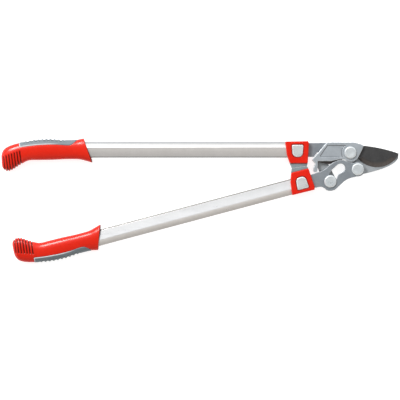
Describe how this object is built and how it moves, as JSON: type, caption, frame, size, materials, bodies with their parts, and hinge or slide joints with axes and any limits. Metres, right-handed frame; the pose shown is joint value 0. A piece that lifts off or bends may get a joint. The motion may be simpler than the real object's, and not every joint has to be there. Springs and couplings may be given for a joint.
{
  "type": "bypass lopper",
  "caption": "Long-handled bypass lopper: a linked cutting head on two flat-sided aluminium tube arms with soft-backed grips, collars and bumpers.",
  "frame": {"origin": "under the middle of the closed tool's outline, on the surface it lies on", "axes": "+X along the upper arm towards the blade's tip, +Y from the lower arm towards the upper arm, +Z out of the front face"},
  "size_m": [0.7534, 0.2364, 0.0266],
  "materials": {
    "tube": "satin anodised",
    "grip_shell": "glossy moulded",
    "grip_pad": "soft matt",
    "collar": "glossy moulded",
    "badge": "pearl silver",
    "bumper": "soft matt",
    "arm_plate": "satin coated steel",
    "cover": "satin coated casting",
    "hook": "satin coated steel",
    "blade": "non-stick coating",
    "bolt_head": "satin",
    "hardware": "zinc plated"
  },
  "bodies": {
    "upper_arm": {"upper_tube": "tube", "upper_grip": "grip_shell", "upper_grip_pad": "grip_pad", "upper_collar": "collar", "upper_badge": "badge", "upper_bumper": "bumper", "upper_rivets": "hardware", "upper_tang": "arm_plate", "front_cover": "cover", "hook_blade": "hook", "cover_screws": "hardware", "main_bolt": "bolt_head", "main_nut": "hardware", "arm_bolt": "bolt_head", "arm_nut": "hardware", "arm_spacer": "hardware"},
    "blade": {"cutting_blade": "blade", "blade_washer": "hardware", "tail_pin": "hardware", "tail_clip": "hardware"},
    "lower_arm": {"lower_arm_plate": "arm_plate", "lower_tube": "tube", "lower_grip": "grip_shell", "lower_grip_pad": "grip_pad", "lower_collar": "collar", "lower_badge": "badge", "lower_bumper": "bumper", "lower_rivets": "hardware", "link_bolt": "bolt_head", "link_nut": "hardware", "link_spacer": "hardware"},
    "link": {"link_plate": "arm_plate"}
  },
  "joints": [
    {"name": "arm_pivot", "type": "hinge", "parent": "upper_arm", "child": "lower_arm", "pos_m": [0.29873, 0.05925, 0.013], "axis": [0, 0, 1], "range_deg": [0, 48]},
    {"name": "blade_pivot", "type": "hinge", "parent": "upper_arm", "child": "blade", "pos_m": [0.28473, 0.09075, 0.013], "axis": [0, 0, 1], "range_deg": [0, 45]},
    {"name": "link_pivot", "type": "hinge", "parent": "lower_arm", "child": "link", "pos_m": [0.24672, 0.03625, 0.013], "axis": [0, 0, 1], "range_deg": [-34, 0]}
  ],
  "couplings": [
    {"joint": "blade_pivot", "follows": "arm_pivot", "ratio": 0.936},
    {"joint": "link_pivot", "follows": "arm_pivot", "ratio": -0.704}
  ]
}
